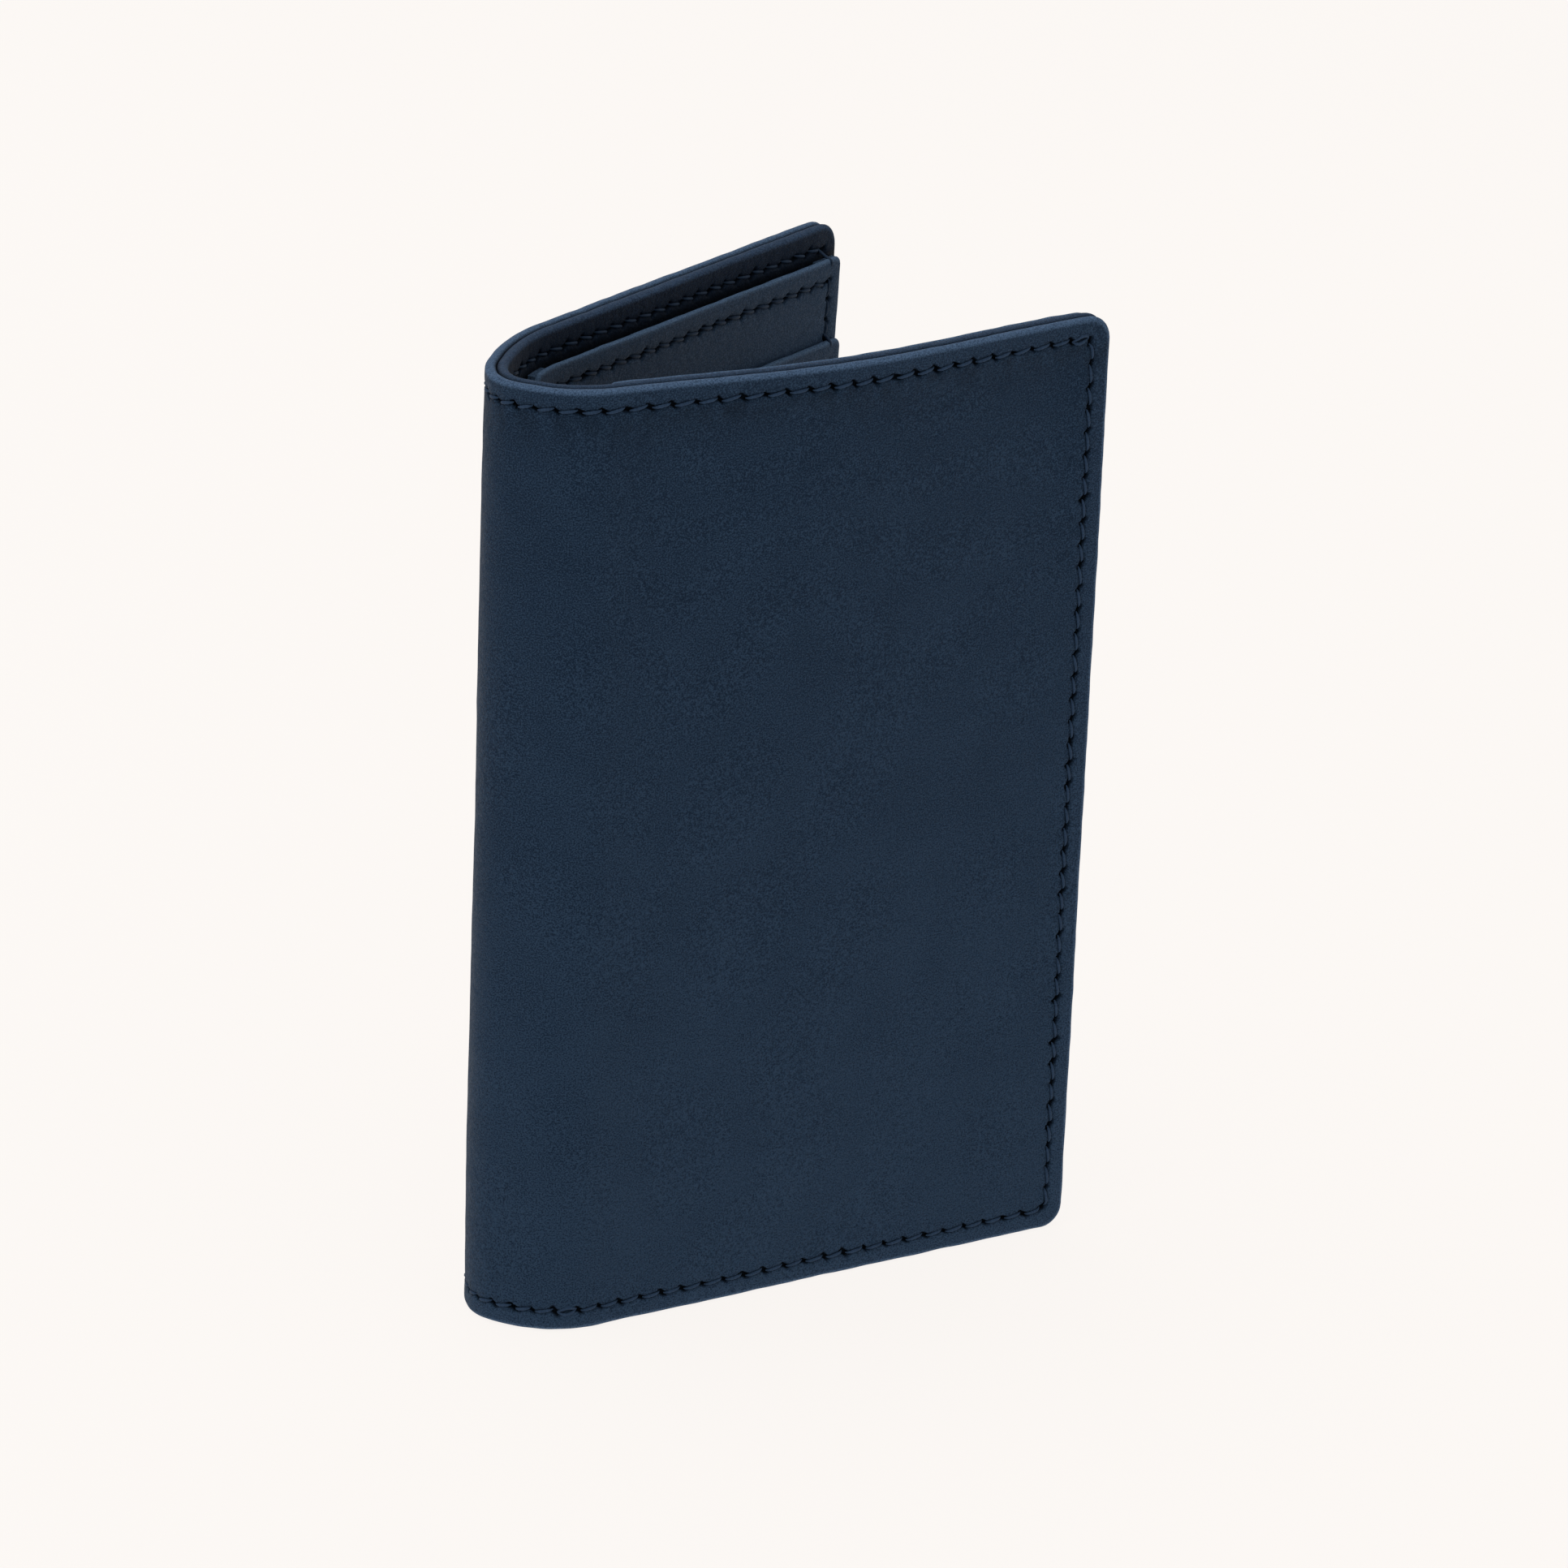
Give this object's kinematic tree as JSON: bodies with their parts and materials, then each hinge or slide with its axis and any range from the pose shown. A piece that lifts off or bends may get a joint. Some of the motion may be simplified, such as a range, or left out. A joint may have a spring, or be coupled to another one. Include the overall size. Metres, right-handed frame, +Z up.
{
  "type": "passport holder",
  "caption": "Tall leather passport holder that opens like a book, with a passport sleeve in one cover and stepped card pockets in the other.",
  "frame": {"origin": "on the ground, at the centre of the footprint of the holder as it stands partly open on its bottom edges", "axes": "+Z up along the spine; +X from the spine towards the open side, midway between the covers; the front cover is on the -Y side"},
  "size_m": [0.0882, 0.0574, 0.14],
  "materials": {
    "outer_leather": "smooth matte navy leather",
    "lining_leather": "matte navy leather",
    "pocket_leather": "matte navy leather with a fine nap",
    "pocket_fabric": "thin woven lining cloth",
    "stiffener_board": "grey-brown bonded board",
    "thread": "waxed navy thread"
  },
  "bodies": {
    "back_cover": {"outer_shell_back": "outer_leather", "lining_back": "lining_leather", "stiffener_back": "stiffener_board", "card_pocket_1": "pocket_leather", "card_pocket_2": "pocket_leather", "card_pocket_3": "pocket_leather", "card_pocket_4": "pocket_leather", "pocket_tongue_1": "pocket_fabric", "pocket_tongue_2": "pocket_fabric", "pocket_tongue_3": "pocket_fabric", "pocket_seam_1": "thread", "pocket_seam_2": "thread", "pocket_seam_3": "thread", "pocket_seam_4": "thread", "outer_seam_back": "thread", "inner_seam_back": "thread"},
    "spine_1": {"outer_shell_spine_1": "outer_leather", "lining_spine_1": "lining_leather", "seam_spine_1": "thread"},
    "spine_2": {"outer_shell_spine_2": "outer_leather", "lining_spine_2": "lining_leather", "seam_spine_2": "thread"},
    "spine_3": {"outer_shell_spine_3": "outer_leather", "lining_spine_3": "lining_leather", "seam_spine_3": "thread"},
    "spine_4": {"outer_shell_spine_4": "outer_leather", "lining_spine_4": "lining_leather", "seam_spine_4": "thread"},
    "front_cover": {"outer_shell_front": "outer_leather", "lining_front": "lining_leather", "stiffener_front": "stiffener_board", "passport_sleeve": "pocket_leather", "outer_seam_front": "thread", "inner_seam_front": "thread", "sleeve_seam": "thread"}
  },
  "joints": [
    {"name": "spine_fold_1", "type": "hinge", "parent": "back_cover", "child": "spine_1", "pos_m": [-0.03349, 0.01213, 0.07], "axis": [0, 0, -1], "range_deg": [-5.46, 27.3]},
    {"name": "spine_fold_2", "type": "hinge", "parent": "spine_1", "child": "spine_2", "pos_m": [-0.04218, 0.00548, 0.07], "axis": [0, 0, -1], "range_deg": [-5.27, 26.31]},
    {"name": "spine_fold_3", "type": "hinge", "parent": "spine_2", "child": "spine_3", "pos_m": [-0.04441, 0.00002, 0.07], "axis": [0, 0, -1], "range_deg": [-9.35, 46.71]},
    {"name": "spine_fold_4", "type": "hinge", "parent": "spine_3", "child": "spine_4", "pos_m": [-0.04257, -0.00561, 0.07], "axis": [0, 0, -1], "range_deg": [-2.93, 14.61]},
    {"name": "spine_fold_5", "type": "hinge", "parent": "spine_4", "child": "front_cover", "pos_m": [-0.03766, -0.01118, 0.07], "axis": [0, 0, -1], "range_deg": [-8.33, 41.61]}
  ],
  "couplings": [
    {"joint": "spine_fold_2", "follows": "spine_fold_1", "ratio": 0.96337},
    {"joint": "spine_fold_3", "follows": "spine_fold_1", "ratio": 1.7106},
    {"joint": "spine_fold_4", "follows": "spine_fold_1", "ratio": 0.5348},
    {"joint": "spine_fold_5", "follows": "spine_fold_1", "ratio": 1.5238}
  ]
}
